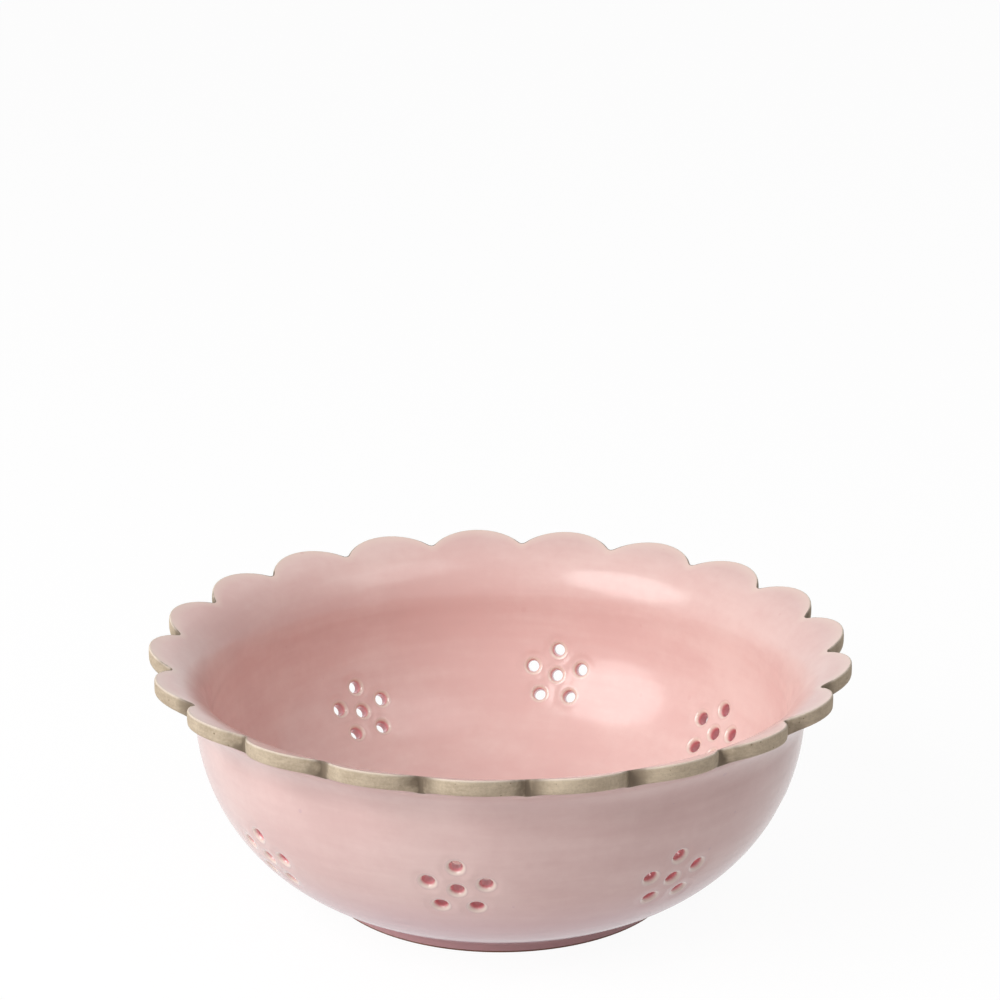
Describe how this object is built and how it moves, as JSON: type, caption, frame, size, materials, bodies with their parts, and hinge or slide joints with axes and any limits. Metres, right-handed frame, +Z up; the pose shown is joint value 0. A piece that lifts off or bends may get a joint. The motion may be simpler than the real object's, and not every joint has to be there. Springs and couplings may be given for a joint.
{
  "type": "berry colander bowl",
  "caption": "Round stoneware berry colander bowl with a flared scalloped brim, flower-shaped groups of drain holes and a low foot ring.",
  "frame": {"origin": "on the table, in the middle of the foot ring", "axes": "+Z up out of the bowl's mouth; +X to the right and +Y away from the viewer of the reference view"},
  "size_m": [0.1692, 0.1696, 0.062],
  "materials": {
    "bare_clay": "matte fired stoneware, toasted brown on the foot",
    "edge_clay": "matte khaki-tan cut edge with fine specks",
    "inner_glaze": "glossy dusty rose glaze",
    "outer_glaze": "glossy pale pink glaze",
    "hole_glaze": "glossy rose glaze pooled in the drain holes"
  },
  "bodies": {
    "root": {"stoneware_body": "bare_clay", "foot_ring": "bare_clay", "inner_glaze": "inner_glaze", "outer_glaze": "outer_glaze", "base_glaze": "outer_glaze", "edge_band": "edge_clay", "drain_flower_1": "hole_glaze", "drain_flower_2": "hole_glaze", "drain_flower_3": "hole_glaze", "drain_flower_4": "hole_glaze", "drain_flower_5": "hole_glaze", "drain_flower_6": "hole_glaze", "drain_flower_7": "hole_glaze", "drain_flower_8": "hole_glaze", "floor_flower": "hole_glaze"}
  },
  "joints": []
}
